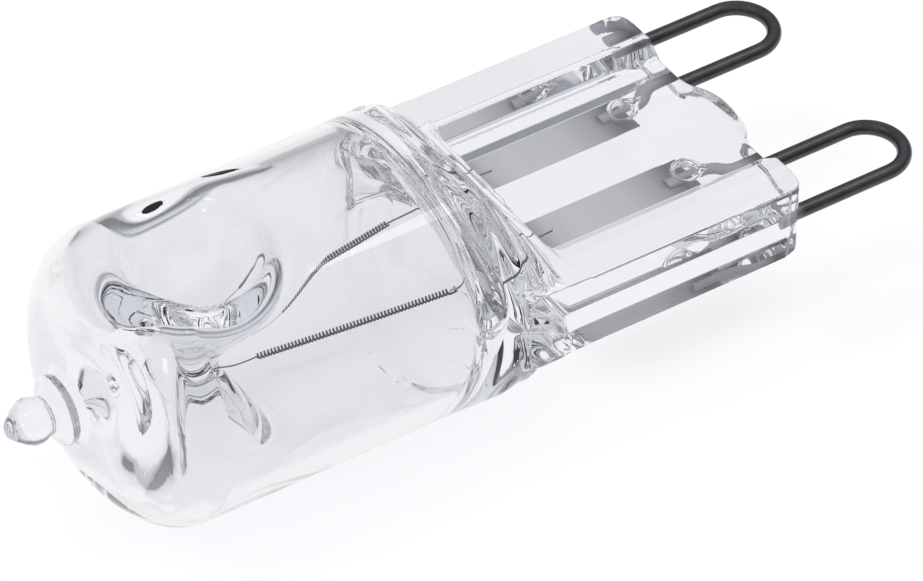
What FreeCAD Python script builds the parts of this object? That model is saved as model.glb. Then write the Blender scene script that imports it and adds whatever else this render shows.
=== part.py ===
import FreeCAD, Part
import math
import os
import Sketcher
from FreeCAD import Vector

# Halogen capsule bulb, in millimetres
# X runs along the lamp axis, out through the contact loops; x = 0 is the end of the pinch ribs
# Y runs across the pinch, Z is the normal of the pinch's flat face
doc = FreeCAD.newDocument("halogen_capsule_bulb")
sheet = doc.addObject("Spreadsheet::Sheet", "sizes")

named_sizes = [
    ("bulb_radius", 6.30),
    ("bulb_wall", 0.72),
    ("dome_start", -27.10),
    ("dome_end", -30.75),
    ("tip_end", -33.40),
    ("tip_bulge_radius", 0.98),
    ("tip_neck_radius", 0.78),
    ("tip_root_radius", 1.22),
    ("shoulder_start", -15.20),
    ("shoulder_end", -10.80),
    ("cavity_taper_start", -16.20),
    ("cavity_end", -12.55),
    ("cavity_slot_half_width", 3.90),
    ("cavity_slot_half_height", 0.34),
    ("cavity_dome_end", -28.55),
    ("rib_half_height", 1.75),
    ("rib_top_width", 2.03),
    ("rib_slope_width", 0.80),
    ("leg_cover", 0.14),
    ("web_half_height", 1.12),
    ("pinch_root", -11.60),
    ("rib_end_rounding", 0.85),
    ("rib_edge_rounding", 0.28),
    ("lobe_reach", 0.95),
    ("lobe_half_width", 2.70),
    ("lobe_edge_rounding", 0.55),
    ("pillar_place", -24.90),
    ("pillar_waist_radius", 0.95),
    ("pillar_waist_level", -0.40),
    ("dimple_mouth_radius", 3.25),
    ("foil_length", 7.40),
    ("foil_width", 1.90),
    ("foil_thickness", 0.05),
    ("foil_place", -6.45),
    ("foil_offset", 2.15),
    ("loop_spacing", 9.00),
    ("loop_leg_half_gap", 1.50),
    ("loop_wire_radius", 0.31),
    ("loop_bend_centre", 4.42),
    ("loop_blind_end", -1.10),
    ("loop_weld_end", -3.95),
    ("loop_weld_offset", 2.35),
    ("loop_jog_start", -2.30),
    ("loop_jog_length", 1.45),
    ("bubble_radius", 0.66),
    ("bubble_place", -2.95),
    ("coil_radius", 0.15),
    ("coil_wire_radius", 0.035),
    ("near_coil_inner", -22.75),
    ("near_coil_outer", -14.25),
    ("far_coil_inner", -20.60),
    ("far_coil_outer", -14.35),
]
for number, (name, value) in enumerate(named_sizes, start=1):
    sheet.set("A%d" % number, name)
    sheet.set("B%d" % number, repr(value))
    sheet.setAlias("B%d" % number, name)
linked_sizes = [
    ("pinch_half_width", "=loop_spacing / 2 + loop_leg_half_gap + loop_wire_radius + leg_cover"),
    ("rib_top_inner", "=pinch_half_width - rib_top_width"),
    ("rib_foot_inner", "=rib_top_inner - rib_slope_width"),
]
for number, (name, formula) in enumerate(linked_sizes, start=1):
    sheet.set("D%d" % number, name)
    sheet.set("E%d" % number, formula)
    sheet.setAlias("E%d" % number, name)
doc.recompute()


def size(name):
    return float(sheet.get(name))


def origin_plane(body, role):
    for feature in body.Origin.OriginFeatures:
        if getattr(feature, "Role", "") == role:
            return feature
    raise RuntimeError("no origin plane " + role)


def sketch_on(body, role, name):
    sketch = body.newObject("Sketcher::SketchObject", name)
    sketch.AttachmentSupport = [(origin_plane(body, role), "")]
    sketch.MapMode = "FlatFace"
    return sketch


def bind(sketch, constraint, name, expression):
    number = sketch.addConstraint(constraint)
    sketch.renameConstraint(number, name)
    sketch.setExpression("Constraints." + name, expression)
    return number


def feature(name, shape):
    item = doc.addObject("Part::Feature", name)
    item.Shape = shape
    return item


def smooth_edge(points):
    curve = Part.BSplineCurve()
    curve.interpolate(points)
    return curve.toShape()


def revolved(edges, base, direction):
    face = Part.Face(Part.Wire(edges))
    solid = face.revolve(base, direction, 360)
    if solid.ShapeType != "Solid":
        solid = solid.Solids[0]
    if solid.Volume < 0:
        solid.reverse()
    return solid


def closed_curve(x_place, half_width, half_height, power, count=32):
    points = []
    for step in range(count):
        angle = 2 * math.pi * step / count
        cosine = math.cos(angle)
        sine = math.sin(angle)
        across = math.copysign(abs(cosine) ** (2 / power), cosine) * half_width
        up = math.copysign(abs(sine) ** (2 / power), sine) * half_height
        points.append(Vector(x_place, across, up))
    curve = Part.BSplineCurve()
    curve.interpolate(points, True)
    return Part.Wire(curve.toShape())


# Blown bulb with its domed end and the sealed exhaust tip
radius = size("bulb_radius")
tip = size("tip_end")
bulge = size("tip_bulge_radius")
neck = size("tip_neck_radius")
root = size("tip_root_radius")
dome_end = size("dome_end")
dome_start = size("dome_start")
shoulder_start = size("shoulder_start")
dome_depth = dome_start - dome_end
tip_foot = 1.75
tip_foot_place = dome_start - dome_depth * math.sqrt(1 - (tip_foot / radius) ** 2)
tip_points = [
    (tip, 0.0),
    (tip + 0.06, 0.26),
    (tip + 0.32, 0.52),
    (tip + 0.80, 0.86),
    (tip + 1.15, bulge),
    (tip + 1.50, 0.90),
    (tip + 1.75, neck),
    (tip + 1.97, 0.94),
    (tip + 2.22, root),
    (tip + 2.50, 1.34),
    (tip_foot_place, tip_foot),
]
tip_edge = smooth_edge([Vector(x, r, 0) for x, r in tip_points])
dome_ellipse = Part.Ellipse(Vector(dome_start, radius, 0), Vector(dome_end, 0, 0), Vector(dome_start, 0, 0))
dome_from = dome_ellipse.parameter(Vector(dome_start, radius, 0))
dome_to = dome_ellipse.parameter(Vector(tip_foot_place, tip_foot, 0))
dome_edge = Part.ArcOfEllipse(dome_ellipse, min(dome_from, dome_to), max(dome_from, dome_to)).toShape()
outer_bulb = revolved(
    [
        tip_edge,
        dome_edge,
        Part.LineSegment(Vector(dome_start, radius, 0), Vector(shoulder_start, radius, 0)).toShape(),
        Part.LineSegment(Vector(shoulder_start, radius, 0), Vector(shoulder_start, 0, 0)).toShape(),
        Part.LineSegment(Vector(shoulder_start, 0, 0), Vector(tip, 0, 0)).toShape(),
    ],
    Vector(0, 0, 0),
    Vector(1, 0, 0),
)
blown_bulb = feature("blown_bulb", outer_bulb)

# Shoulder, where the round tube was pressed flat
seam_step = 0.012
shoulder_end = size("shoulder_end")
half_width = size("pinch_half_width")
half_height = size("rib_half_height")
shoulder_sections = []
for share, width_share, height_share, power in [
    (0.0, 0.0, 0.0, 2.0),
    (0.18, 0.02, 0.035, 2.05),
    (0.45, 0.20, 0.30, 2.4),
    (0.72, 0.62, 0.72, 3.2),
    (0.90, 0.92, 0.96, 4.6),
    (1.0, 1.0, 1.0, 6.0),
]:
    place = shoulder_start + share * (shoulder_end - shoulder_start)
    wide = radius - seam_step + width_share * (half_width - radius)
    high = radius - seam_step + height_share * (half_height - radius)
    shoulder_sections.append(closed_curve(place, wide, high, power))
shoulder = feature("shoulder", Part.makeLoft(shoulder_sections, True, False))

# Pinch: a web between two ribs
pinch_body = doc.addObject("PartDesign::Body", "pinch_ribs")
section = sketch_on(pinch_body, "YZ_Plane", "pinch_section")
outline = [
    (half_width, half_height),
    (size("rib_top_inner"), half_height),
    (size("rib_foot_inner"), size("web_half_height")),
    (-size("rib_foot_inner"), size("web_half_height")),
    (-size("rib_top_inner"), half_height),
    (-half_width, half_height),
    (-half_width, -half_height),
    (-size("rib_top_inner"), -half_height),
    (-size("rib_foot_inner"), -size("web_half_height")),
    (size("rib_foot_inner"), -size("web_half_height")),
    (size("rib_top_inner"), -half_height),
    (half_width, -half_height),
]
for number in range(len(outline)):
    first = outline[number]
    last = outline[(number + 1) % len(outline)]
    section.addGeometry(Part.LineSegment(Vector(first[0], first[1], 0), Vector(last[0], last[1], 0)), False)
for number in range(len(outline)):
    following = (number + 1) % len(outline)
    section.addConstraint(Sketcher.Constraint("Coincident", number, 2, following, 1))
corner_names = ["half_width", "top_inner", "foot_inner"]
corner_expressions = {
    "half_width": ("sizes.pinch_half_width", "sizes.rib_half_height"),
    "top_inner": ("sizes.rib_top_inner", "sizes.rib_half_height"),
    "foot_inner": ("sizes.rib_foot_inner", "sizes.web_half_height"),
}
corner_kinds = ["half_width", "top_inner", "foot_inner", "foot_inner", "top_inner", "half_width"] * 2
corner_kinds = corner_kinds[:6] + ["half_width", "top_inner", "foot_inner", "foot_inner", "top_inner", "half_width"]
for number, kind in enumerate(corner_kinds):
    across, up = outline[number]
    across_text, up_text = corner_expressions[kind]
    across_text = across_text if across > 0 else "-" + across_text
    up_text = up_text if up > 0 else "-" + up_text
    bind(section, Sketcher.Constraint("DistanceX", -1, 1, number, 1, across), "across_%d" % number, across_text)
    bind(section, Sketcher.Constraint("DistanceY", -1, 1, number, 1, up), "up_%d" % number, up_text)
doc.recompute()
pad = pinch_body.newObject("PartDesign::Pad", "pinch_pad")
pad.Profile = section
pad.Reversed = True
pad.setExpression("Length", "-sizes.pinch_root")
doc.recompute()


def edges_where(shape, test):
    found = []
    for number, edge in enumerate(shape.Edges, start=1):
        if test(edge):
            found.append("Edge%d" % number)
    return found


def rib_corner(edge):
    start, end = edge.Vertexes[0].Point, edge.Vertexes[-1].Point
    upright = abs(start.x - end.x) < 1e-6 and abs(start.y - end.y) < 1e-6 and abs(start.z - end.z) > 1.0
    return upright and abs(start.x) < 1e-6 and abs(abs(start.y) - half_width) < 1e-6


end_rounding = pinch_body.newObject("PartDesign::Fillet", "rib_end_corners")
end_rounding.Base = (pad, edges_where(pad.Shape, rib_corner))
end_rounding.setExpression("Radius", "sizes.rib_end_rounding")
doc.recompute()


def rib_ridge(edge):
    box = edge.BoundBox
    flat = box.ZLength < 1e-6 and abs(abs(box.ZMax) - half_height) < 1e-6
    return flat and box.XMax > size("pinch_root") + 0.5


ridge_rounding = pinch_body.newObject("PartDesign::Fillet", "rib_ridges")
ridge_rounding.Base = (end_rounding, edges_where(end_rounding.Shape, rib_ridge))
ridge_rounding.setExpression("Radius", "sizes.rib_edge_rounding")
doc.recompute()

# Rounded lobe of glass between the ribs at the end of the pinch
lobe_reach = size("lobe_reach")
lobe_width = size("lobe_half_width")
web_half = size("web_half_height")
lobe_start = Vector(-2.2, lobe_width, -web_half)
lobe_curve = Part.BSplineCurve()
lobe_curve.interpolate(
    [
        Vector(-0.9, lobe_width, -web_half),
        Vector(-0.05, lobe_width * 0.93, -web_half),
        Vector(lobe_reach * 0.80, lobe_width * 0.55, -web_half),
        Vector(lobe_reach, 0, -web_half),
        Vector(lobe_reach * 0.80, -lobe_width * 0.55, -web_half),
        Vector(-0.05, -lobe_width * 0.93, -web_half),
        Vector(-0.9, -lobe_width, -web_half),
    ]
)
lobe_end = Vector(-2.2, -lobe_width, -web_half)
lobe_face = Part.Face(
    Part.Wire(
        [
            Part.LineSegment(lobe_start, Vector(-0.9, lobe_width, -web_half)).toShape(),
            lobe_curve.toShape(),
            Part.LineSegment(Vector(-0.9, -lobe_width, -web_half), lobe_end).toShape(),
            Part.LineSegment(lobe_end, lobe_start).toShape(),
        ]
    )
)
lobe_shape = lobe_face.extrude(Vector(0, 0, 2 * web_half))
lobe_edges = [e for e in lobe_shape.Edges if e.BoundBox.ZLength < 1e-6 and e.BoundBox.XMax > lobe_reach - 0.01]
lobe_shape = lobe_shape.makeFillet(size("lobe_edge_rounding"), lobe_edges)
lobe = feature("end_lobe", lobe_shape)

outer_glass = doc.addObject("Part::MultiFuse", "outer_glass")
outer_glass.Shapes = [blown_bulb, shoulder, pinch_body, lobe]
doc.recompute()

# Hollow of the bulb, tapering to a flat slot at the pinch
inner_radius = radius - size("bulb_wall")
taper_start = size("cavity_taper_start")
cavity_dome = size("cavity_dome_end")
hollow_bend = 1.35
inner_points = [
    Vector(cavity_dome - 0.70, 0, 0),
    Vector(cavity_dome - 0.62, 0.30, 0),
    Vector(cavity_dome - 0.12, 0.66, 0),
    Vector(cavity_dome + 0.20, 1.20, 0),
    Vector(cavity_dome + 0.10, 2.10, 0),
    Vector(cavity_dome + 0.04, 3.10, 0),
    Vector(cavity_dome + 0.20, inner_radius - hollow_bend, 0),
]
bend_start = inner_points[-1]
bend_end = Vector(bend_start.x + hollow_bend * 1.1, inner_radius, 0)
inner_bend = Part.Arc(
    bend_start,
    Vector(bend_start.x + hollow_bend * 0.36, inner_radius - hollow_bend * 0.34, 0),
    bend_end,
)
hollow_round = revolved(
    [
        smooth_edge(inner_points),
        inner_bend.toShape(),
        Part.LineSegment(bend_end, Vector(taper_start, inner_radius, 0)).toShape(),
        Part.LineSegment(Vector(taper_start, inner_radius, 0), Vector(taper_start, 0, 0)).toShape(),
        Part.LineSegment(Vector(taper_start, 0, 0), Vector(cavity_dome - 0.70, 0, 0)).toShape(),
    ],
    Vector(0, 0, 0),
    Vector(1, 0, 0),
)
slot_width = size("cavity_slot_half_width")
slot_height = size("cavity_slot_half_height")
cavity_end = size("cavity_end")
hollow_sections = []
for share, width_share, height_share in [
    (0.0, 0.0, 0.0),
    (0.15, 0.02, 0.05),
    (0.45, 0.16, 0.36),
    (0.75, 0.46, 0.74),
    (0.93, 0.76, 0.92),
    (1.0, 1.0, 1.0),
]:
    place = taper_start + share * (cavity_end - taper_start)
    wide = inner_radius - seam_step + width_share * (slot_width - inner_radius)
    high = inner_radius - seam_step + height_share * (slot_height - inner_radius)
    hollow_sections.append(closed_curve(place, wide, high, 2.0 + 0.6 * share))
hollow_taper = Part.makeLoft(hollow_sections, True, False)
hollow = feature("bulb_hollow", hollow_round.fuse(hollow_taper))

# Pillar made by two dimples that meet in the middle of the bulb
pillar_place = size("pillar_place")
waist = size("pillar_waist_radius")
waist_level = size("pillar_waist_level")
mouth = size("dimple_mouth_radius")
axis_base = Vector(pillar_place, 0, 0)


def pillar_points(pairs):
    return [Vector(pillar_place + r, 0, z) for r, z in pairs]


pillar_side = smooth_edge(
    pillar_points(
        [
            (4.60, 5.90),
            (3.55, 4.70),
            (2.72, 3.30),
            (1.80, 1.90),
            (1.15, 0.70),
            (waist, waist_level),
            (1.15, -1.40),
            (1.75, -2.60),
            (2.55, -3.75),
            (3.30, -4.85),
            (4.20, -5.90),
        ]
    )
)
pillar_solid = revolved(
    [
        pillar_side,
        Part.LineSegment(Vector(pillar_place + 4.20, 0, -5.90), Vector(pillar_place, 0, -5.90)).toShape(),
        Part.LineSegment(Vector(pillar_place, 0, -5.90), Vector(pillar_place, 0, 5.90)).toShape(),
        Part.LineSegment(Vector(pillar_place, 0, 5.90), Vector(pillar_place + 4.60, 0, 5.90)).toShape(),
    ],
    axis_base,
    Vector(0, 0, 1),
)
hollow_around_pillar = feature("hollow_around_pillar", hollow.Shape.cut(pillar_solid))

top_dimple_side = smooth_edge(
    pillar_points(
        [
            (mouth + 0.55, 6.60),
            (mouth - 0.30, 5.62),
            (2.45, 4.20),
            (1.98, 3.05),
            (1.20, 1.80),
            (0.62, 0.95),
            (0.0, 0.62),
        ]
    )
)
top_dimple = revolved(
    [
        top_dimple_side,
        Part.LineSegment(Vector(pillar_place, 0, 0.62), Vector(pillar_place, 0, 6.60)).toShape(),
        Part.LineSegment(Vector(pillar_place, 0, 6.60), Vector(pillar_place + mouth + 0.55, 0, 6.60)).toShape(),
    ],
    axis_base,
    Vector(0, 0, 1),
)
bottom_dimple_side = smooth_edge(
    pillar_points(
        [
            (mouth + 0.35, -6.60),
            (mouth - 0.45, -5.62),
            (2.20, -4.40),
            (1.55, -3.20),
            (0.95, -2.20),
            (0.50, -1.62),
            (0.0, -1.40),
        ]
    )
)
bottom_dimple = revolved(
    [
        bottom_dimple_side,
        Part.LineSegment(Vector(pillar_place, 0, -1.40), Vector(pillar_place, 0, -6.60)).toShape(),
        Part.LineSegment(Vector(pillar_place, 0, -6.60), Vector(pillar_place + mouth + 0.25, 0, -6.60)).toShape(),
    ],
    axis_base,
    Vector(0, 0, 1),
)
dimples = feature("dimples", Part.makeCompound([top_dimple, bottom_dimple]))

# Contact loops: one bent wire on each side, with a jog inside the glass to its foil
loop_bodies = []
for side, label in [(1, "contact_loop_left"), (-1, "contact_loop_right")]:
    body = doc.addObject("PartDesign::Body", label)
    path = sketch_on(body, "XY_Plane", label + "_path")
    spacing = size("loop_spacing") / 2
    gap = size("loop_leg_half_gap")
    bend = size("loop_bend_centre")
    inner = side * (spacing - gap)
    outer = side * (spacing + gap)
    weld = side * size("loop_weld_offset")
    weld_end = size("loop_weld_end")
    jog_start = size("loop_jog_start")
    jog_length = size("loop_jog_length")
    blind = size("loop_blind_end")
    offset = abs(inner - weld)
    jog_radius = (jog_length ** 2 + offset ** 2) / (4 * offset)
    middle = Vector(jog_start + jog_length / 2, (inner + weld) / 2, 0)
    first_centre = Vector(jog_start, weld + side * jog_radius, 0)
    last_centre = Vector(jog_start + jog_length, inner - side * jog_radius, 0)

    def arc(centre, start, end, turn):
        reach = (start - centre).Length
        begin = math.atan2(start.y - centre.y, start.x - centre.x)
        finish = math.atan2(end.y - centre.y, end.x - centre.x)
        circle = Part.Circle(centre, Vector(0, 0, 1), reach)
        if turn > 0:
            return Part.ArcOfCircle(circle, begin, finish)
        return Part.ArcOfCircle(circle, finish, begin)

    path.addGeometry(Part.LineSegment(Vector(weld_end, weld, 0), Vector(jog_start, weld, 0)), False)
    path.addGeometry(arc(first_centre, Vector(jog_start, weld, 0), middle, side), False)
    path.addGeometry(arc(last_centre, middle, Vector(jog_start + jog_length, inner, 0), -side), False)
    path.addGeometry(Part.LineSegment(Vector(jog_start + jog_length, inner, 0), Vector(bend, inner, 0)), False)
    path.addGeometry(arc(Vector(bend, side * spacing, 0), Vector(bend, inner, 0), Vector(bend, outer, 0), side), False)
    path.addGeometry(Part.LineSegment(Vector(bend, outer, 0), Vector(blind, outer, 0)), False)
    turn_ends = {1: (1, 2), -1: (2, 1)}
    arc_first, arc_last = turn_ends[side]
    path.addConstraint(Sketcher.Constraint("Tangent", 0, 2, 1, arc_first))
    path.addConstraint(Sketcher.Constraint("Tangent", 1, arc_last, 2, arc_last))
    path.addConstraint(Sketcher.Constraint("Tangent", 2, arc_first, 3, 1))
    path.addConstraint(Sketcher.Constraint("Tangent", 3, 2, 4, arc_first))
    path.addConstraint(Sketcher.Constraint("Tangent", 4, arc_last, 5, 1))
    path.addConstraint(Sketcher.Constraint("Horizontal", 0))
    path.addConstraint(Sketcher.Constraint("Horizontal", 3))
    sign = "" if side > 0 else "-"
    bind(path, Sketcher.Constraint("DistanceX", -1, 1, 0, 1, weld_end), "weld_end", "sizes.loop_weld_end")
    bind(path, Sketcher.Constraint("DistanceX", -1, 1, 0, 2, jog_start), "jog_start", "sizes.loop_jog_start")
    bind(path, Sketcher.Constraint("DistanceY", -1, 1, 0, 1, weld), "weld_offset", sign + "sizes.loop_weld_offset")
    bind(path, Sketcher.Constraint("DistanceX", 0, 2, 3, 1, jog_length), "jog_length", "sizes.loop_jog_length")
    bind(path, Sketcher.Constraint("DistanceX", -1, 1, 4, 3, bend), "bend_centre", "sizes.loop_bend_centre")
    bind(
        path,
        Sketcher.Constraint("DistanceY", -1, 1, 4, 3, side * spacing),
        "loop_centre",
        sign + "sizes.loop_spacing / 2",
    )
    bind(path, Sketcher.Constraint("Radius", 4, gap), "leg_half_gap", "sizes.loop_leg_half_gap")
    bind(path, Sketcher.Constraint("DistanceX", -1, 1, 5, 2, blind), "blind_end", "sizes.loop_blind_end")
    round_section = sketch_on(body, "YZ_Plane", label + "_section")
    round_section.AttachmentOffset = FreeCAD.Placement(Vector(0, 0, weld_end), FreeCAD.Rotation())
    round_section.setExpression(".AttachmentOffset.Base.z", "sizes.loop_weld_end")
    round_section.addGeometry(Part.Circle(Vector(weld, 0, 0), Vector(0, 0, 1), size("loop_wire_radius")), False)
    bind(
        round_section,
        Sketcher.Constraint("Radius", 0, size("loop_wire_radius")),
        "wire_radius",
        "sizes.loop_wire_radius",
    )
    bind(
        round_section,
        Sketcher.Constraint("DistanceX", -1, 1, 0, 3, weld),
        "weld_offset",
        sign + "sizes.loop_weld_offset",
    )
    round_section.addConstraint(Sketcher.Constraint("PointOnObject", 0, 3, -1))
    doc.recompute()
    pipe = body.newObject("PartDesign::AdditivePipe", label + "_wire")
    pipe.Profile = round_section
    pipe.Spine = (path, ["Edge%d" % (n + 1) for n in range(6)])
    doc.recompute()
    loop_bodies.append(body)

# Filament: a close-wound coil on each side of the pillar and plain wire between them
near_inner = Vector(size("near_coil_inner"), -1.20, waist_level)
near_outer = Vector(size("near_coil_outer"), -2.45, 0.0)
far_inner = Vector(size("far_coil_inner"), 1.70, waist_level)
far_outer = Vector(size("far_coil_outer"), 2.30, 0.0)
wire = size("coil_wire_radius")
coil = size("coil_radius")
foil_end = size("foil_place") - size("foil_length") / 2
foil_offset = size("foil_offset")
lead_lap = 0.90


def rod(start, end, reach):
    return Part.makeCylinder(reach, (end - start).Length, start, end - start)


def tangent_point(point, centre, reach, side):
    gap = point - centre
    distance = math.hypot(gap.x, gap.y)
    heading = math.atan2(gap.y, gap.x) + side * math.acos(reach / distance)
    return Vector(centre.x + reach * math.cos(heading), centre.y + reach * math.sin(heading), point.z)


turn_radius = waist + wire + 0.03
turn_centre = Vector(pillar_place, 0, waist_level)
near_touch = tangent_point(near_inner, turn_centre, turn_radius, -1)
far_touch = tangent_point(far_inner, turn_centre, turn_radius, 1)
turn_middle = Vector(pillar_place - turn_radius, 0, waist_level)
turn_path = Part.Wire(
    [
        Part.LineSegment(near_inner, near_touch).toShape(),
        Part.Arc(near_touch, turn_middle, far_touch).toShape(),
        Part.LineSegment(far_touch, far_inner).toShape(),
    ]
)
turn_section = Part.Wire(Part.makeCircle(wire, near_inner, near_touch - near_inner))
pillar_turn = turn_path.makePipeShell([turn_section], True, True)
lead_radius = 0.05
lead_pieces = []
for outer_end, side in [(near_outer, -1), (far_outer, 1)]:
    lead_end = Vector(foil_end + lead_lap, side * foil_offset, 0)
    knee = Vector(cavity_end + 0.2, side * (foil_offset + 0.22), 0)
    lead_pieces.append(rod(outer_end, knee, lead_radius))
    lead_pieces.append(Part.makeSphere(lead_radius, knee))
    lead_pieces.append(rod(knee, lead_end, lead_radius))
filament_shape = rod(near_inner, near_outer, coil).multiFuse(
    [rod(far_inner, far_outer, coil), pillar_turn] + lead_pieces
)
filament = feature("filament", filament_shape.removeSplitter())

# Sealing foils, notched where the wires are welded to them
foils = []
for side, label in [(1, "foil_left"), (-1, "foil_right")]:
    strip = doc.addObject("Part::Box", label + "_strip")
    strip.setExpression("Length", "sizes.foil_length")
    strip.setExpression("Width", "sizes.foil_width")
    strip.setExpression("Height", "sizes.foil_thickness")
    strip.setExpression("Placement.Base.x", "sizes.foil_place - sizes.foil_length / 2")
    sign = "" if side > 0 else "-"
    strip.setExpression("Placement.Base.y", sign + "sizes.foil_offset - sizes.foil_width / 2")
    strip.setExpression("Placement.Base.z", "-sizes.foil_thickness / 2")
    doc.recompute()
    welded = doc.addObject("Part::Cut", label + "_at_loop")
    welded.Base = strip
    welded.Tool = loop_bodies[0] if side > 0 else loop_bodies[1]
    doc.recompute()
    foil = doc.addObject("Part::Cut", label)
    foil.Base = welded
    foil.Tool = filament
    doc.recompute()
    foils.append(foil)

# Drop-shaped bubbles left in the glass at the ends of the loop wires
bubbles = []
bubble = size("bubble_radius")
for side in (1, -1):
    centre = Vector(size("bubble_place"), side * (foil_offset + 0.05), 0.36)
    drop_side = smooth_edge(
        [
            Vector(centre.x - bubble, centre.y, centre.z),
            Vector(centre.x - bubble * 0.72, centre.y + bubble * 0.68, centre.z),
            Vector(centre.x, centre.y + bubble * 0.98, centre.z),
            Vector(centre.x + bubble * 0.75, centre.y + bubble * 0.66, centre.z),
            Vector(centre.x + bubble * 1.35, centre.y + bubble * 0.24, centre.z),
            Vector(centre.x + bubble * 1.75, centre.y, centre.z),
        ]
    )
    closing = Part.LineSegment(
        Vector(centre.x + bubble * 1.75, centre.y, centre.z),
        Vector(centre.x - bubble, centre.y, centre.z),
    ).toShape()
    drop = revolved([drop_side, closing], centre, Vector(1, 0, 0))
    drop.rotate(centre, Vector(0, 0, 1), side * 14)
    drop.scale(1.0)
    bubbles.append(drop)
upper_half = Part.makeBox(8, 20, 3, Vector(-7, -10, size("foil_thickness") / 2))
drops = feature("end_bubbles", Part.makeCompound([b.common(upper_half) for b in bubbles]))

# Glass with everything it holds taken out of it
glass_shape = outer_glass.Shape.removeSplitter()
for tool in [hollow_around_pillar.Shape, top_dimple, bottom_dimple]:
    glass_shape = glass_shape.cut(tool)
for drop in bubbles:
    glass_shape = glass_shape.cut(drop.common(upper_half))
for item in loop_bodies + foils + [filament]:
    glass_shape = glass_shape.cut(item.Shape)
solids = sorted(glass_shape.Solids, key=lambda s: s.Volume)
envelope = feature("glass_envelope", solids[-1])
doc.recompute()

nodes = {
    "glass_envelope": envelope,
    "filament": filament,
    "foil_left": foils[0],
    "foil_right": foils[1],
    "contact_loop_left": loop_bodies[0],
    "contact_loop_right": loop_bodies[1],
}
for item in doc.Objects:
    state = [word for word in item.State if word in ("Invalid", "Error")]
    if state:
        raise RuntimeError("%s is %s" % (item.Name, state))
os.makedirs("parts", exist_ok=True)
for name, item in nodes.items():
    item.Label = name
    shape = item.Shape
    if shape.isNull() or not shape.isValid():
        raise RuntimeError("bad shape " + name)
    if len(shape.Solids) != 1:
        raise RuntimeError("%s has %d solids" % (name, len(shape.Solids)))
    shape.exportStep("parts/%s.step" % name)
    box = shape.BoundBox
    print(
        name,
        "volume",
        round(shape.Volume, 3),
        "x",
        round(box.XMin, 2),
        round(box.XMax, 2),
        "y",
        round(box.YMin, 2),
        round(box.YMax, 2),
        "z",
        round(box.ZMin, 2),
        round(box.ZMax, 2),
    )
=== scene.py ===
import math

import bpy
import numpy as np
import openvdb
from mathutils import Matrix, Vector


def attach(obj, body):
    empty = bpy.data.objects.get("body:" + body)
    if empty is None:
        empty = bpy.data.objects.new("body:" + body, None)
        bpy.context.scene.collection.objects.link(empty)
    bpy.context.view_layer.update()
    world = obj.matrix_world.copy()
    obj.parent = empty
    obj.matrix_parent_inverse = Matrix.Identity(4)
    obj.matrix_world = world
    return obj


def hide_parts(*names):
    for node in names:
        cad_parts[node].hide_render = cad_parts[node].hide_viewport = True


bpy.ops.wm.read_factory_settings(use_empty=True)
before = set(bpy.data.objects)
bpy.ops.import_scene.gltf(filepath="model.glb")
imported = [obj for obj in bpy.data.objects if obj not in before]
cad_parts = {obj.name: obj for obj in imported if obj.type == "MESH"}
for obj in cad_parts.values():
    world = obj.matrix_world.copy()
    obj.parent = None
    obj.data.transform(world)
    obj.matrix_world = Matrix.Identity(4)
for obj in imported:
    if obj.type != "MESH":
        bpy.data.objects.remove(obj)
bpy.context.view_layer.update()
MM = 0.001

# Sizes in millimetres, as in the solids
BULB_RADIUS = 6.30
WALL = 0.72
DOME_START = -27.10
DOME_END = -30.75
TIP_END = -33.40
SHOULDER_START = -15.20
SHOULDER_END = -10.80
CAVITY_TAPER = -16.20
CAVITY_END = -12.55
CAVITY_DOME = -28.55
SLOT_HALF_WIDTH = 3.90
SLOT_HALF_HEIGHT = 0.34
PINCH_HALF_WIDTH = 6.45
RIB_HALF_HEIGHT = 1.75
RIB_TOP_INNER = 4.42
RIB_FOOT_INNER = 3.62
WEB_HALF_HEIGHT = 1.12
PILLAR_X = -24.90
WAIST = 0.95
WAIST_LEVEL = -0.40
MOUTH = 3.25
RIB_END_ROUNDING = 0.85

# Sizes of the scene's own forms, in millimetres
MOUTH_BLEND = 1.55
DIMPLE_WALL = 0.66
BULB_TABLE_END = -14.9
HOLLOW_TABLE_END = -15.9
PINCH_INNER_END = -13.2
DIMPLE_REACH = 6.5
FAR_OUTSIDE = 3.0
COIL_REACH = 0.105
COIL_WIRE = 0.043
COIL_SAG = 0.05
COIL_TURNS_RIGHT = 58
COIL_TURNS_LEFT = 44


# Distance fields, negative inside the material
def curve_through(points, steps=14):
    pts = np.array(points, float)
    padded = np.vstack([2 * pts[0] - pts[1], pts, 2 * pts[-1] - pts[-2]])
    out = []
    for i in range(1, len(padded) - 2):
        a, b, c, d = padded[i - 1 : i + 3]
        for s in np.linspace(0, 1, steps, endpoint=False):
            out.append(
                0.5
                * (
                    2 * b
                    + (c - a) * s
                    + (2 * a - 5 * b + 4 * c - d) * s**2
                    + (3 * b - 3 * c + d - a) * s**3
                )
            )
    out.append(pts[-1])
    return np.array(out)


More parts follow.
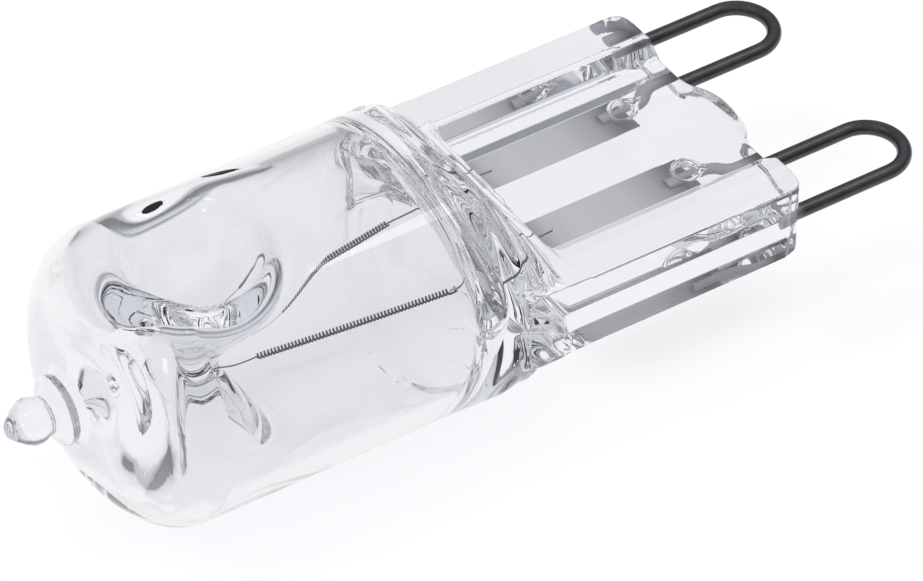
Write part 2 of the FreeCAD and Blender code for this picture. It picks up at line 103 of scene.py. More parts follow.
class Profile:
    """Signed distance to a closed outline, kept in a table over its plane."""

    def __init__(self, outline, low, high, step=0.03):
        self.low = np.array(low, float)
        self.step = step
        count = np.ceil((np.array(high) - self.low) / step).astype(int) + 1
        u = self.low[0] + np.arange(count[0]) * step
        v = self.low[1] + np.arange(count[1]) * step
        uu, vv = np.meshgrid(u, v, indexing="ij")
        best = np.full(uu.shape, 1e9)
        inside = np.zeros(uu.shape, bool)
        for a, b in zip(outline, np.roll(outline, -1, axis=0)):
            edge = b - a
            length = edge @ edge
            if length < 1e-12:
                continue
            along = np.clip(((uu - a[0]) * edge[0] + (vv - a[1]) * edge[1]) / length, 0, 1)
            gap = (uu - a[0] - along * edge[0]) ** 2 + (vv - a[1] - along * edge[1]) ** 2
            best = np.minimum(best, gap)
            if abs(edge[1]) > 1e-12:
                crosses = (a[1] > vv) != (b[1] > vv)
                inside ^= crosses & (uu < a[0] + (vv - a[1]) * edge[0] / edge[1])
        self.table = np.where(inside, -1, 1) * np.sqrt(best)

    def __call__(self, u, v):
        fu = np.clip((u - self.low[0]) / self.step, 0, self.table.shape[0] - 1.001)
        fv = np.clip((v - self.low[1]) / self.step, 0, self.table.shape[1] - 1.001)
        iu, iv = fu.astype(int), fv.astype(int)
        du, dv = fu - iu, fv - iv
        t = self.table
        return (
            t[iu, iv] * (1 - du) * (1 - dv)
            + t[iu + 1, iv] * du * (1 - dv)
            + t[iu, iv + 1] * (1 - du) * dv
            + t[iu + 1, iv + 1] * du * dv
        )


def smooth_min(a, b, k):
    h = np.clip(0.5 + 0.5 * (b - a) / k, 0, 1)
    return b * (1 - h) + a * h - k * h * (1 - h)


def smooth_max(a, b, k):
    return -smooth_min(-a, -b, k)


def smooth_step(x):
    x = np.clip(x, 0, 1)
    return x * x * (3 - 2 * x)


dome_depth = DOME_START - DOME_END
tip_foot = 1.75
tip_foot_x = DOME_START - dome_depth * math.sqrt(1 - (tip_foot / BULB_RADIUS) ** 2)
tip_side = curve_through(
    [
        (TIP_END, 0.0),
        (TIP_END + 0.06, 0.26),
        (TIP_END + 0.32, 0.52),
        (TIP_END + 0.80, 0.86),
        (TIP_END + 1.15, 0.98),
        (TIP_END + 1.50, 0.90),
        (TIP_END + 1.74, 0.80),
        (TIP_END + 1.93, 1.05),
        (TIP_END + 2.12, 1.36),
        (TIP_END + 2.32, 1.46),
        (TIP_END + 2.54, 1.43),
        (tip_foot_x, tip_foot),
    ]
)
angles = np.linspace(math.asin(tip_foot / BULB_RADIUS), math.pi / 2, 60)[1:]
dome_side = np.stack([DOME_START - dome_depth * np.cos(angles), BULB_RADIUS * np.sin(angles)], 1)
outer_outline = np.vstack([tip_side, dome_side, [(BULB_TABLE_END, BULB_RADIUS)]])
mirrored = outer_outline[::-1] * np.array([1, -1])
outer_profile = Profile(np.vstack([outer_outline, mirrored]), (-35.0, 0.0), (-13.5, 8.0))

inner_radius = BULB_RADIUS - WALL
inner_side = curve_through(
    [
        (CAVITY_DOME - 0.70, 0.0),
        (CAVITY_DOME - 0.62, 0.30),
        (CAVITY_DOME - 0.12, 0.66),
        (CAVITY_DOME + 0.20, 1.20),
        (CAVITY_DOME + 0.10, 2.10),
        (CAVITY_DOME + 0.04, 3.10),
        (CAVITY_DOME + 0.20, inner_radius - 1.35),
        (CAVITY_DOME + 0.20 + 0.49, inner_radius - 0.46),
        (CAVITY_DOME + 0.20 + 1.49, inner_radius),
    ]
)
inner_outline = np.vstack([inner_side, [(HOLLOW_TABLE_END, inner_radius)]])
mirrored = inner_outline[::-1] * np.array([1, -1])
inner_profile = Profile(np.vstack([inner_outline, mirrored]), (-31.0, 0.0), (-14.5, 7.0))


def about_pillar(pairs):
    side = curve_through(pairs)
    outline = np.vstack([side, [(0.0, side[0][1])]])
    return Profile(outline, (0.0, -8.0), (7.0, 8.0))


top_dimple = about_pillar(
    [
        (MOUTH + 0.55, 6.60),
        (MOUTH - 0.30, 5.62),
        (2.45, 4.20),
        (1.98, 3.05),
        (1.20, 1.80),
        (0.62, 0.95),
        (0.0, 0.62),
    ]
)
bottom_dimple = about_pillar(
    [
        (MOUTH + 0.35, -6.60),
        (MOUTH - 0.45, -5.62),
        (2.20, -4.40),
        (1.55, -3.20),
        (0.95, -2.20),
        (0.50, -1.62),
        (0.0, -1.40),
    ]
)
section_points = np.array(
    [
        (PINCH_HALF_WIDTH, RIB_HALF_HEIGHT),
        (RIB_TOP_INNER, RIB_HALF_HEIGHT),
        (RIB_FOOT_INNER, WEB_HALF_HEIGHT),
        (-RIB_FOOT_INNER, WEB_HALF_HEIGHT),
        (-RIB_TOP_INNER, RIB_HALF_HEIGHT),
        (-PINCH_HALF_WIDTH, RIB_HALF_HEIGHT),
        (-PINCH_HALF_WIDTH, -RIB_HALF_HEIGHT),
        (-RIB_TOP_INNER, -RIB_HALF_HEIGHT),
        (-RIB_FOOT_INNER, -WEB_HALF_HEIGHT),
        (RIB_FOOT_INNER, -WEB_HALF_HEIGHT),
        (RIB_TOP_INNER, -RIB_HALF_HEIGHT),
        (PINCH_HALF_WIDTH, -RIB_HALF_HEIGHT),
    ]
)
section_profile = Profile(section_points, (-8.0, -3.5), (8.0, 3.5), 0.02)


def shoulder(x, y, z):
    share = np.clip((x - SHOULDER_START) / (SHOULDER_END - SHOULDER_START), 0, 1)
    wide = BULB_RADIUS + smooth_step((share - 0.15) / 0.85) * (PINCH_HALF_WIDTH - BULB_RADIUS)
    drop = smooth_step(share**1.25)
    high = BULB_RADIUS + drop * (RIB_HALF_HEIGHT - BULB_RADIUS)
    # wrinkles left where the hot glass was pressed
    bend = 0.28 * np.sin(0.42 * y + 0.7) + 0.10 * np.sin(1.3 * y + 2.0) - 0.018 * y * y * 0.5
    place = x + bend
    amount = smooth_step((x + 14.3) / 1.4) * smooth_step((-10.2 - x) / 0.5)
    long_waves = 0.125 * np.sin(place * 7.0 + 0.5 * np.sin(y * 0.7))
    waves = long_waves + 0.028 * np.sin(place * 12.6 + 1.2 + 0.3 * y)
    high = high + amount * waves
    power = 2.0 + 3.6 * share**2
    reach = ((np.abs(y) / wide + 1e-9) ** power + (np.abs(z) / high + 1e-9) ** power) ** (1 / power)
    body = (reach - 1) * np.minimum(wide, high)
    return np.maximum(np.maximum(body, x - (SHOULDER_END + 0.05)), -16.0 - x)


def pinch(x, y, z):
    flat = section_profile(y, z)
    ends = smooth_max(x, PINCH_INNER_END - x, 0.01)
    # the ribs' corners are rounded in plan as well
    corner_x = x + RIB_END_ROUNDING
    corner_y = np.abs(y) - (PINCH_HALF_WIDTH - RIB_END_ROUNDING)
    rounded = np.hypot(corner_x, corner_y) - RIB_END_ROUNDING
    rounded = np.where((corner_x > 0) & (corner_y > 0), rounded, -RIB_END_ROUNDING)
    body = smooth_max(smooth_max(flat, ends, 0.30), rounded, 0.16)
    lobe_flat = ((np.abs(x + 1.75) / 2.70) ** 2.3 + (np.abs(y) / 2.75) ** 2.3) ** (1 / 2.3)
    lobe = smooth_max((lobe_flat - 1) * 2.5, np.abs(z) - WEB_HALF_HEIGHT, 0.75)
    lobe = np.where(x > -4.5, lobe, 5.0)
    return smooth_min(body, lobe, 0.22)


def outer_glass(p):
    x, y, z = p[:, 0], p[:, 1], p[:, 2]
    r = np.hypot(y, z)
    bulb = outer_profile(x, r)
    past_bulb = np.hypot(np.maximum(x - BULB_TABLE_END, 0), np.maximum(r - BULB_RADIUS, 0))
    bulb = np.where(x > BULB_TABLE_END, past_bulb, bulb)
    press = shoulder(x, y, z)
    glass = np.minimum(bulb, press)
    glass = smooth_min(glass, pinch(x, y, z), 0.45)
    around = np.hypot(x - PILLAR_X, y)
    near = around < DIMPLE_REACH
    top = np.where(near, top_dimple(around, z), FAR_OUTSIDE)
    low = np.where(near, bottom_dimple(around, z), FAR_OUTSIDE)
    glass = smooth_max(glass, -top, MOUTH_BLEND)
    glass = smooth_max(glass, -low, MOUTH_BLEND)
    return np.maximum(glass, np.abs(y) - PINCH_HALF_WIDTH + 0.002)


def inner_hollow(p):
    x, y, z = p[:, 0], p[:, 1], p[:, 2]
    r = np.hypot(y, z)
    hollow = inner_profile(x, r)
    past_hollow = np.hypot(x - HOLLOW_TABLE_END, np.maximum(r - inner_radius, 0))
    hollow = np.where(x > HOLLOW_TABLE_END, past_hollow, hollow)
    share = np.clip((x - CAVITY_TAPER) / (CAVITY_END - CAVITY_TAPER), 0, 1)
    wide = inner_radius + smooth_step(share) ** 1.4 * (SLOT_HALF_WIDTH - inner_radius)
    bend = 0.22 * np.sin(0.5 * y + 0.4) - 0.02 * y * y
    ripple = 0.07 * smooth_step((x + 15.0) / 1.6) * np.sin((x + bend) * 5.5)
    high = inner_radius + smooth_step(share**1.15) * (SLOT_HALF_HEIGHT - inner_radius)
    high = np.maximum(high + ripple, 0.18)
    power = 2.0 + 0.6 * share
    reach = ((np.abs(y) / wide + 1e-9) ** power + (np.abs(z) / high + 1e-9) ** power) ** (1 / power)
    taper = (reach - 1) * np.minimum(wide, high)
    end = x - (CAVITY_END + 0.35 * np.cos(0.55 * y) - 0.02 * y * y)
    taper = smooth_max(np.maximum(taper, -16.4 - x), end, 0.35)
    hollow = np.minimum(hollow, taper)
    around = np.hypot(x - PILLAR_X, y)
    near = around < DIMPLE_REACH
    top = np.where(near, top_dimple(around, z), FAR_OUTSIDE) - DIMPLE_WALL
    low = np.where(near, bottom_dimple(around, z), FAR_OUTSIDE) - DIMPLE_WALL
    column = np.maximum(around - WAIST, np.maximum(z - 1.1, -1.9 - z))
    pillar = smooth_min(smooth_min(top, low, 0.3), column, 0.55)
    return smooth_max(hollow, -pillar, MOUTH_BLEND)


def drop_void(p):
    best = np.full(len(p), 9.0)
    for side in (1, -1):
        turn = math.radians(14) * side
        dx = p[:, 0] + 2.95
        dy = p[:, 1] - side * 2.20
        u = dx * math.cos(turn) + dy * math.sin(turn)
        v = -dx * math.sin(turn) + dy * math.cos(turn)
        w = p[:, 2] - 0.36
        across = np.hypot(v, w)
        head = np.sqrt(u**2 + across**2) - 0.66
        tail_reach = np.clip(u / 1.35, 0, 1)
        tail = np.where(u > 0, np.maximum(across - 0.52 * (1 - tail_reach), u - 1.30), 9.0)
        drop = smooth_min(head, tail, 0.25)
        best = np.minimum(best, smooth_max(drop, 0.06 - p[:, 2], 0.10))
    return best


def skin(name, field, low, high, voxel, flip):
    """Meshes a distance field, moves each vertex onto its surface and takes the normals from its slope."""
    low = np.array(low, float)
    count = np.ceil((np.array(high) - low) / voxel).astype(int) + 1
    ys = low[1] + np.arange(count[1]) * voxel
    zs = low[2] + np.arange(count[2]) * voxel
    yy, zz = np.meshgrid(ys, zs, indexing="ij")
    values = np.empty(tuple(count), np.float32)
    for i in range(count[0]):
        xx = np.full(yy.size, low[0] + i * voxel)
        values[i] = field(np.stack([xx, yy.ravel(), zz.ravel()], 1)).reshape(yy.shape)
    grid = openvdb.FloatGrid(background=3.0)
    grid.copyFromArray(np.clip(values / voxel, -3, 3).astype(np.float32))
    points, quads = grid.convertToQuads(0.0)
    points = points.astype(float) * voxel + low

    def slope(at):
        out = np.empty_like(at)
        for axis in range(3):
            shift = np.zeros(3)
            shift[axis] = 0.02
            out[:, axis] = (field(at + shift) - field(at - shift)) / 0.04
        return out

    for _ in range(3):
        g = slope(points)
        size = np.maximum((g * g).sum(1), 0.05)
        step = field(points) / size
        step = np.clip(step, -0.4 * voxel, 0.4 * voxel)
        points = points - g * step[:, None]
    normals = slope(points)
    normals /= np.maximum(np.linalg.norm(normals, axis=1), 1e-9)[:, None]
    mesh = bpy.data.meshes.new(name)
    faces = quads.astype(int)
    a, b, c = points[faces[:, 0]], points[faces[:, 1]], points[faces[:, 2]]
    facing = (np.cross(b - a, c - a) * normals[faces[:, 0]]).sum(1).mean()
    outward = facing > 0
    if outward == flip:
        faces = faces[:, ::-1]
    if flip:
        normals = -normals
    mesh.from_pydata((points * MM).tolist(), [], faces.tolist())
    mesh.update()
    mesh.polygons.foreach_set("use_smooth", [True] * len(mesh.polygons))
    mesh.normals_split_custom_set_from_vertices(normals.tolist())
    obj = bpy.data.objects.new(name, mesh)
    bpy.context.scene.collection.objects.link(obj)
    print("skin", name, "quads", len(faces), "box", points.min(0).round(3), points.max(0).round(3))
    return obj


coarse = 1.0
outer_low, outer_high = (-33.9, -6.9, -6.8), (1.5, 6.9, 6.8)
inner_low, inner_high = (-29.9, -6.2, -6.2), (-11.6, 6.2, 6.2)
drop_low, drop_high = (-4.2, -3.6, -0.3), (-1.0, 3.6, 1.4)
outer_skin = skin("glass_outer_skin", outer_glass, outer_low, outer_high, 0.125 * coarse, False)
inner_skin = skin("glass_inner_skin", inner_hollow, inner_low, inner_high, 0.11 * coarse, True)
drop_skin = skin("glass_end_bubbles", drop_void, drop_low, drop_high, 0.05 * coarse, True)

# Materials


def new_material(name):
    material = bpy.data.materials.new(name)
    material.use_nodes = True
    tree = material.node_tree
    tree.nodes.clear()
    return material, tree.nodes, tree.links


def glass_material():
    material, nodes, links = new_material("quartz_glass")
    out = nodes.new("ShaderNodeOutputMaterial")
    glass = nodes.new("ShaderNodeBsdfPrincipled")
    glass.inputs["Base Color"].default_value = (0.912, 0.916, 0.930, 1)
    glass.inputs["Transmission Weight"].default_value = 1.0
    glass.inputs["Roughness"].default_value = 0.0
    glass.inputs["IOR"].default_value = 1.458
    clear = nodes.new("ShaderNodeBsdfTransparent")
    clear.inputs["Color"].default_value = (0.93, 0.935, 0.94, 1)
    path = nodes.new("ShaderNodeLightPath")
    mix = nodes.new("ShaderNodeMixShader")
    shaded = nodes.new("ShaderNodeMath")
    shaded.operation = "MAXIMUM"
    links.new(path.outputs["Is Shadow Ray"], shaded.inputs[0])
    links.new(path.outputs["Is Diffuse Ray"], shaded.inputs[1])
    links.new(shaded.outputs[0], mix.inputs[0])
    links.new(glass.outputs[0], mix.inputs[1])
    links.new(clear.outputs[0], mix.inputs[2])
    links.new(mix.outputs[0], out.inputs[0])
    return material


def metal_material(name, colour, rough, metallic=1.0, streak=0.0, scale=900.0):
    material, nodes, links = new_material(name)
    out = nodes.new("ShaderNodeOutputMaterial")
    shader = nodes.new("ShaderNodeBsdfPrincipled")
    shader.inputs["Metallic"].default_value = metallic
    shader.inputs["Roughness"].default_value = rough
    coords = nodes.new("ShaderNodeTexCoord")
    noise = nodes.new("ShaderNodeTexNoise")
    noise.inputs["Scale"].default_value = scale
    noise.inputs["Detail"].default_value = 4
    links.new(coords.outputs["Object"], noise.inputs["Vector"])
    ramp = nodes.new("ShaderNodeValToRGB")
    ramp.color_ramp.elements[0].color = (*[c * (1 - streak) for c in colour], 1)
    ramp.color_ramp.elements[1].color = (*[min(c * (1 + streak), 1) for c in colour], 1)
    links.new(noise.outputs["Fac"], ramp.inputs[0])
    links.new(ramp.outputs[0], shader.inputs["Base Color"])
    links.new(shader.outputs[0], out.inputs[0])
    return material


def foil_material_with_painted_reflection():
    material, nodes, links = new_material("molybdenum_foil_painted_reflection")
    out = nodes.new("ShaderNodeOutputMaterial")
    shader = nodes.new("ShaderNodeBsdfPrincipled")
    shader.inputs["Metallic"].default_value = 0.2
    shader.inputs["Roughness"].default_value = 0.5
    coords = nodes.new("ShaderNodeTexCoord")
    split = nodes.new("ShaderNodeSeparateXYZ")
    links.new(coords.outputs["Object"], split.inputs[0])
    along = nodes.new("ShaderNodeMapRange")
    along.inputs["From Min"].default_value = -10.15 * MM
    along.inputs["From Max"].default_value = -2.75 * MM
    links.new(split.outputs["X"], along.inputs["Value"])
    # painted reflection and shade: the foil's grey runs from pale to dark along its length, standing in for
    # the reflections on it
    ramp = nodes.new("ShaderNodeValToRGB")
    ramp.color_ramp.elements[0].position = 0.0
    ramp.color_ramp.elements[0].color = (0.30, 0.30, 0.31, 1)
    ramp.color_ramp.elements[1].position = 1.0
    ramp.color_ramp.elements[1].color = (0.20, 0.20, 0.21, 1)
    for place, grey in [(0.10, 0.48), (0.24, 0.54), (0.58, 0.50), (0.78, 0.36), (0.92, 0.16)]:
        stop = ramp.color_ramp.elements.new(place)
        stop.color = (grey, grey, grey * 1.01, 1)
    links.new(along.outputs[0], ramp.inputs[0])
    links.new(ramp.outputs[0], shader.inputs["Base Color"])
    noise = nodes.new("ShaderNodeTexNoise")
    noise.inputs["Scale"].default_value = 2500
    links.new(coords.outputs["Object"], noise.inputs["Vector"])
    bump = nodes.new("ShaderNodeBump")
    bump.inputs["Strength"].default_value = 0.15
    bump.inputs["Distance"].default_value = 0.00002
    links.new(noise.outputs["Fac"], bump.inputs["Height"])
    links.new(bump.outputs[0], shader.inputs["Normal"])
    links.new(shader.outputs[0], out.inputs[0])
    return material


def contact_wire_material():
    material, nodes, links = new_material("dark_contact_wire")
    out = nodes.new("ShaderNodeOutputMaterial")
    shader = nodes.new("ShaderNodeBsdfPrincipled")
    shader.inputs["Roughness"].default_value = 0.26
    shader.inputs["IOR"].default_value = 1.62
    coords = nodes.new("ShaderNodeTexCoord")
    split = nodes.new("ShaderNodeSeparateXYZ")
    links.new(coords.outputs["Object"], split.inputs[0])
    along = nodes.new("ShaderNodeMapRange")
    along.inputs["From Min"].default_value = -0.9 * MM
    along.inputs["From Max"].default_value = 0.1 * MM
    links.new(split.outputs["X"], along.inputs["Value"])
    noise = nodes.new("ShaderNodeTexNoise")
    noise.inputs["Scale"].default_value = 1400
    noise.inputs["Detail"].default_value = 5
    links.new(coords.outputs["Object"], noise.inputs["Vector"])
    dark = nodes.new("ShaderNodeValToRGB")
    dark.color_ramp.elements[0].position = 0.35
    dark.color_ramp.elements[0].color = (0.006, 0.006, 0.007, 1)
    dark.color_ramp.elements[1].position = 0.75
    dark.color_ramp.elements[1].color = (0.022, 0.022, 0.024, 1)
    links.new(noise.outputs["Fac"], dark.inputs[0])
    wetted = nodes.new("ShaderNodeMix")
    wetted.data_type = "RGBA"
    wetted.inputs["A"].default_value = (0.30, 0.30, 0.315, 1)
    links.new(along.outputs[0], wetted.inputs["Factor"])
    links.new(dark.outputs[0], wetted.inputs["B"])
    links.new(wetted.outputs["Result"], shader.inputs["Base Color"])
    links.new(shader.outputs[0], out.inputs[0])
    return material


glass = glass_material()
tungsten = metal_material("tungsten_wire", (0.20, 0.20, 0.21), 0.42, 0.7, 0.25, 4000.0)
wire_black = contact_wire_material()
foil = foil_material_with_painted_reflection()
for obj in (outer_skin, inner_skin, drop_skin):
    obj.data.materials.clear()
    obj.data.materials.append(glass)
    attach(obj, "root")
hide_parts("glass_envelope")


def smooth_node(name, material):
    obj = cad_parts[name]
    obj.data.materials.clear()
    obj.data.materials.append(material)
    obj.data.polygons.foreach_set("use_smooth", [True] * len(obj.data.polygons))


for side in ("left", "right"):
    smooth_node("contact_loop_" + side, wire_black)
    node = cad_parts["foil_" + side]
    node.data.materials.clear()
    node.data.materials.append(foil)


# Filament wound turn by turn
def tube(name, path, radius, sides, material):
    path = np.array(path, float)
    tangent = np.gradient(path, axis=0)
    tangent /= np.linalg.norm(tangent, axis=1)[:, None]
    up = np.array([0.0, 0.0, 1.0])
    verts, faces = [], []
    for i, (point, along) in enumerate(zip(path, tangent)):
        across = np.cross(along, up)
        if np.linalg.norm(across) < 0.05:
            across = np.array([0.0, 1.0, 0.0])
        across /= np.linalg.norm(across)
        lift = np.cross(across, along)
        for k in range(sides):
            turn = 2 * math.pi * k / sides
            verts.append((point + radius * (math.cos(turn) * across + math.sin(turn) * lift)) * MM)
        if i:
            for k in range(sides):
                nxt = (k + 1) % sides
                faces.append(((i - 1) * sides + k, (i - 1) * sides + nxt, i * sides + nxt, i * sides + k))
    faces.append(tuple(range(sides))[::-1])
    faces.append(tuple((len(path) - 1) * sides + k for k in range(sides)))
    mesh = bpy.data.meshes.new(name)
    mesh.from_pydata([tuple(v) for v in verts], [], faces)
    mesh.update()
    mesh.polygons.foreach_set("use_smooth", [True] * len(mesh.polygons))
    mesh.materials.append(material)
    obj = bpy.data.objects.new(name, mesh)
    bpy.context.scene.collection.objects.link(obj)
    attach(obj, "root")
    return obj


near_inner = np.array([-22.75, -1.20, WAIST_LEVEL])
near_outer = np.array([-14.25, -2.45, 0.0])
far_inner = np.array([-20.60, 1.70, WAIST_LEVEL])
far_outer = np.array([-14.35, 2.30, 0.0])


def coil_path(start, end, turns, reach, sag):
    axis = end - start
    length = np.linalg.norm(axis)
    axis /= length
    side = np.cross(axis, [0, 0, 1.0])
    side /= np.linalg.norm(side)
    lift = np.cross(side, axis)
    steps = turns * 12
    out = []
    for i in range(steps + 1):
        s = i / steps
        turn = 2 * math.pi * turns * s
        centre = start + axis * length * s + np.array([0, 0, -sag * math.sin(math.pi * s)])
        out.append(centre + reach * (math.cos(turn) * side + math.sin(turn) * lift))
    return out


near_path = coil_path(near_inner, near_outer, COIL_TURNS_RIGHT, COIL_REACH, COIL_SAG)
near_coil = tube("filament_coil_right", near_path, COIL_WIRE, 6, tungsten)
far_path = coil_path(far_inner, far_outer, COIL_TURNS_LEFT, COIL_REACH, COIL_SAG)
tube("filament_coil_left", far_path, COIL_WIRE, 6, tungsten)
turn_reach = WAIST + 0.065
wrap = [near_inner, near_inner + np.array([-0.5, 0.02, -0.02]), near_inner + np.array([-1.1, 0.10, -0.03])]
for step in range(25):
    angle = math.radians(-62 - step * 236 / 24)
    wrap.append(
        np.array(
            [PILLAR_X + turn_reach * math.cos(angle), turn_reach * math.sin(angle), WAIST_LEVEL - 0.02]
        )
    )
wrap.extend([np.array([-23.3, 1.25, WAIST_LEVEL]), far_inner - np.array([0.9, 0.10, 0]), far_inner])
tube("filament_turn", curve_through(wrap, 6), 0.030, 6, tungsten)
for label, start, side in (("right", near_outer, -1), ("left", far_outer, 1)):
    path = [
        start,
        start + np.array([0.5, side * 0.03, 0.0]),
        np.array([-12.35, side * 2.37, 0.0]),
        np.array([-9.3, side * 2.15, 0.0]),
    ]
    tube("filament_tail_" + label, curve_through(path, 8), 0.038, 6, tungsten)
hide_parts("filament")

# Floor, white to the camera and paler or darker with distance through the glass
FLOOR_Z = -(BULB_RADIUS + 0.05) * MM
CAMERA_AT = Vector((-151.181, -200.0, 211.738))
FORWARD = Vector((0.42828208, 0.61607691, -0.66107768))
RIGHT = Vector((0.82946157, -0.55830282, 0.01707221))
UP = Vector((0.35856374, 0.55565026, 0.75012321))
FOCAL_PIXELS = 8139.61
PHOTO_WIDTH = 923
PHOTO_HEIGHT = 581
SENSOR_WIDTH = 36.0


def floor_material():
    material, nodes, links = new_material("floor_white")
    out = nodes.new("ShaderNodeOutputMaterial")
    diffuse = nodes.new("ShaderNodeBsdfDiffuse")
    diffuse.inputs["Color"].default_value = (0.80, 0.80, 0.80, 1)
    glow = nodes.new("ShaderNodeEmission")
    glow.inputs["Color"].default_value = (1, 1, 1, 1)
    glow.inputs["Strength"].default_value = 1.0
    path = nodes.new("ShaderNodeLightPath")
    first = nodes.new("ShaderNodeMath")
    first.operation = "MAXIMUM"
    links.new(path.outputs["Is Camera Ray"], first.inputs[0])
    links.new(path.outputs["Is Glossy Ray"], first.inputs[1])
    seen = nodes.new("ShaderNodeMath")
    seen.operation = "MAXIMUM"
    links.new(first.outputs[0], seen.inputs[0])
    links.new(path.outputs["Is Transmission Ray"], seen.inputs[1])
    scaled = nodes.new("ShaderNodeMath")
    scaled.operation = "MULTIPLY"
    scaled.inputs[1].default_value = 0.78
    links.new(seen.outputs[0], scaled.inputs[0])
    # the camera sees more of the lit floor, so the lamp's soft shadow shows
    shadow_share = nodes.new("ShaderNodeMath")
    shadow_share.operation = "MULTIPLY_ADD"
    shadow_share.inputs[1].default_value = -0.26
    links.new(path.outputs["Is Camera Ray"], shadow_share.inputs[0])
    links.new(scaled.outputs[0], shadow_share.inputs[2])
    # away from the lamp the floor is darker in reflections and through the glass
    coords = nodes.new("ShaderNodeTexCoord")
    reach = nodes.new("ShaderNodeVectorMath")
    reach.operation = "DISTANCE"
    reach.inputs[1].default_value = (-0.010, 0.008, FLOOR_Z)
    links.new(coords.outputs["Object"], reach.inputs[0])
    fade = nodes.new("ShaderNodeMapRange")
    fade.interpolation_type = "SMOOTHSTEP"
    fade.inputs["From Min"].default_value = 0.026
    fade.inputs["From Max"].default_value = 0.095
    fade.inputs["To Min"].default_value = 1.0
    fade.inputs["To Max"].default_value = 0.45
    links.new(reach.outputs["Value"], fade.inputs["Value"])
    shown = nodes.new("ShaderNodeMath")
    shown.operation = "MAXIMUM"
    links.new(fade.outputs[0], shown.inputs[0])
    links.new(path.outputs["Is Camera Ray"], shown.inputs[1])
    lifted = nodes.new("ShaderNodeMath")
    lifted.operation = "MULTIPLY_ADD"
    lifted.inputs[1].default_value = 0.13
    links.new(path.outputs["Is Camera Ray"], lifted.inputs[0])
    links.new(shown.outputs[0], lifted.inputs[2])
    links.new(lifted.outputs[0], glow.inputs["Strength"])
    mix = nodes.new("ShaderNodeMixShader")
    links.new(shadow_share.outputs[0], mix.inputs[0])
    links.new(diffuse.outputs[0], mix.inputs[1])
    links.new(glow.outputs[0], mix.inputs[2])
    links.new(mix.outputs[0], out.inputs[0])
    return material


def flat_sheet(name, corners, material):
    mesh = bpy.data.meshes.new(name)
    mesh.from_pydata(corners, [], [tuple(range(len(corners)))])
    mesh.update()
    obj = bpy.data.objects.new(name, mesh)
    bpy.context.scene.collection.objects.link(obj)
    mesh.materials.append(material)
    return obj


REACH = 1.2
flat_sheet(
    "floor",
    [(-REACH, -REACH, FLOOR_Z), (REACH, -REACH, FLOOR_Z), (REACH, REACH, FLOOR_Z), (-REACH, REACH, FLOOR_Z)],
    floor_material(),
)

# World: a pale room with darker sides, which draw the glass's edges
world = bpy.data.worlds.new("room")
bpy.context.scene.world = world
world.use_nodes = True
nodes, links = world.node_tree.nodes, world.node_tree.links
nodes.clear()
out = nodes.new("ShaderNodeOutputWorld")
back = nodes.new("ShaderNodeBackground")
coords = nodes.new("ShaderNodeTexCoord")
split = nodes.new("ShaderNodeSeparateXYZ")
links.new(coords.outputs["Generated"], split.inputs[0])
ramp = nodes.new("ShaderNodeValToRGB")
ramp.color_ramp.elements[0].position = 0.0
ramp.color_ramp.elements[0].color = (0.45, 0.455, 0.48, 1)
ramp.color_ramp.elements[1].position = 1.0
ramp.color_ramp.elements[1].color = (0.70, 0.70, 0.72, 1)
for place, grey in [(0.02, 0.22), (0.20, 0.22), (0.36, 0.34), (0.52, 0.62), (0.75, 0.72)]:
    stop = ramp.color_ramp.elements.new(place)
    stop.color = (grey, grey * 1.02, grey * 1.12, 1)
links.new(split.outputs["Z"], ramp.inputs[0])
links.new(ramp.outputs[0], back.inputs["Color"])
white = nodes.new("ShaderNodeBackground")
white.inputs["Color"].default_value = (1, 1, 1, 1)
path = nodes.new("ShaderNodeLightPath")
mix = nodes.new("ShaderNodeMixShader")
links.new(path.outputs["Is Camera Ray"], mix.inputs[0])
links.new(back.outputs[0], mix.inputs[1])
links.new(white.outputs[0], mix.inputs[2])
links.new(mix.outputs[0], out.inputs[0])


def softbox(name, place, size, power, target=(-0.015, 0.0, 0.0)):
    data = bpy.data.lights.new(name, "AREA")
    data.shape = "RECTANGLE"
    data.size, data.size_y = size
    data.energy = power
    obj = bpy.data.objects.new(name, data)
    obj.location = place
    aim = Vector(target) - Vector(place)
    obj.rotation_mode = "QUATERNION"
    obj.rotation_quaternion = aim.to_track_quat("-Z", "Y")
    bpy.context.scene.collection.objects.link(obj)
    return obj


key = softbox("key_window", (-0.20, 0.10, 0.45), (0.20, 0.20), 1.2)
fill = softbox("fill_window", (0.30, -0.25, 0.40), (0.30, 0.20), 0.6)
for lamp in (key, fill):
    lamp.visible_glossy = False
    lamp.visible_transmission = False


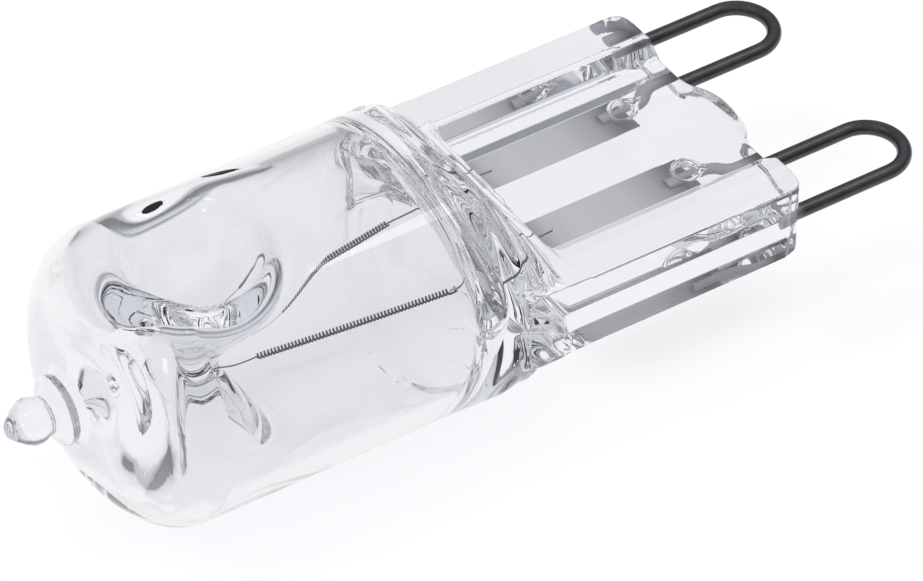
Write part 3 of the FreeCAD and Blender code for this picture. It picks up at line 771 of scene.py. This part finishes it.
def window_card(name, direction, distance, size, strength):
    """A small bright pane that only shows as a highlight in glass and metal."""
    material, nodes, links = new_material(name)
    out = nodes.new("ShaderNodeOutputMaterial")
    glow = nodes.new("ShaderNodeEmission")
    glow.inputs["Strength"].default_value = strength
    links.new(glow.outputs[0], out.inputs[0])
    aim = Vector(direction).normalized()
    side = aim.cross(Vector((0, 0, 1))).normalized()
    lift = side.cross(aim)
    centre = aim * distance + Vector((-0.015, 0, 0))
    wide, high = size[0] / 2, size[1] / 2
    corners = [centre + side * a * wide + lift * b * high for a, b in ((-1, -1), (1, -1), (1, 1), (-1, 1))]
    card = flat_sheet(name, [tuple(c) for c in corners], material)
    card.visible_camera = False
    card.visible_diffuse = False
    card.visible_shadow = False
    card.visible_transmission = False
    return card


window_card("pane_high", (-0.35, 0.05, 0.95), 0.35, (0.035, 0.05), 6.0)
window_card("pane_high_low", (-0.62, 0.05, 0.85), 0.35, (0.035, 0.05), 5.0)
window_card("pane_side", (0.10, -0.45, 0.85), 0.35, (0.05, 0.03), 4.0)
window_card("pane_long", (0.55, -0.10, 0.95), 0.40, (0.26, 0.035), 4.5)
window_card("pane_tip", (-0.85, -0.45, 0.45), 0.35, (0.03, 0.06), 5.0)

# Camera at the photo's angle, from a fit to the photo's own lines
camera_data = bpy.data.cameras.new("camera")
camera = bpy.data.objects.new("camera", camera_data)
bpy.context.scene.collection.objects.link(camera)
turn = Matrix((RIGHT, UP, -FORWARD)).transposed()
camera.rotation_mode = "QUATERNION"
camera.rotation_quaternion = turn.to_quaternion()
camera.location = CAMERA_AT * MM
camera_data.sensor_width = SENSOR_WIDTH
camera_data.lens = FOCAL_PIXELS / PHOTO_WIDTH * SENSOR_WIDTH
camera_data.clip_start = 0.01
camera_data.clip_end = 20
scene = bpy.context.scene
scene.camera = camera
scene.render.engine = "CYCLES"
scene.render.resolution_x = PHOTO_WIDTH
scene.render.resolution_y = PHOTO_HEIGHT
scene.view_settings.view_transform = "Standard"
scene.cycles.max_bounces = 32
scene.cycles.transmission_bounces = 32
scene.cycles.glossy_bounces = 12
scene.cycles.transparent_max_bounces = 32
scene.cycles.caustics_reflective = False
scene.cycles.caustics_refractive = False
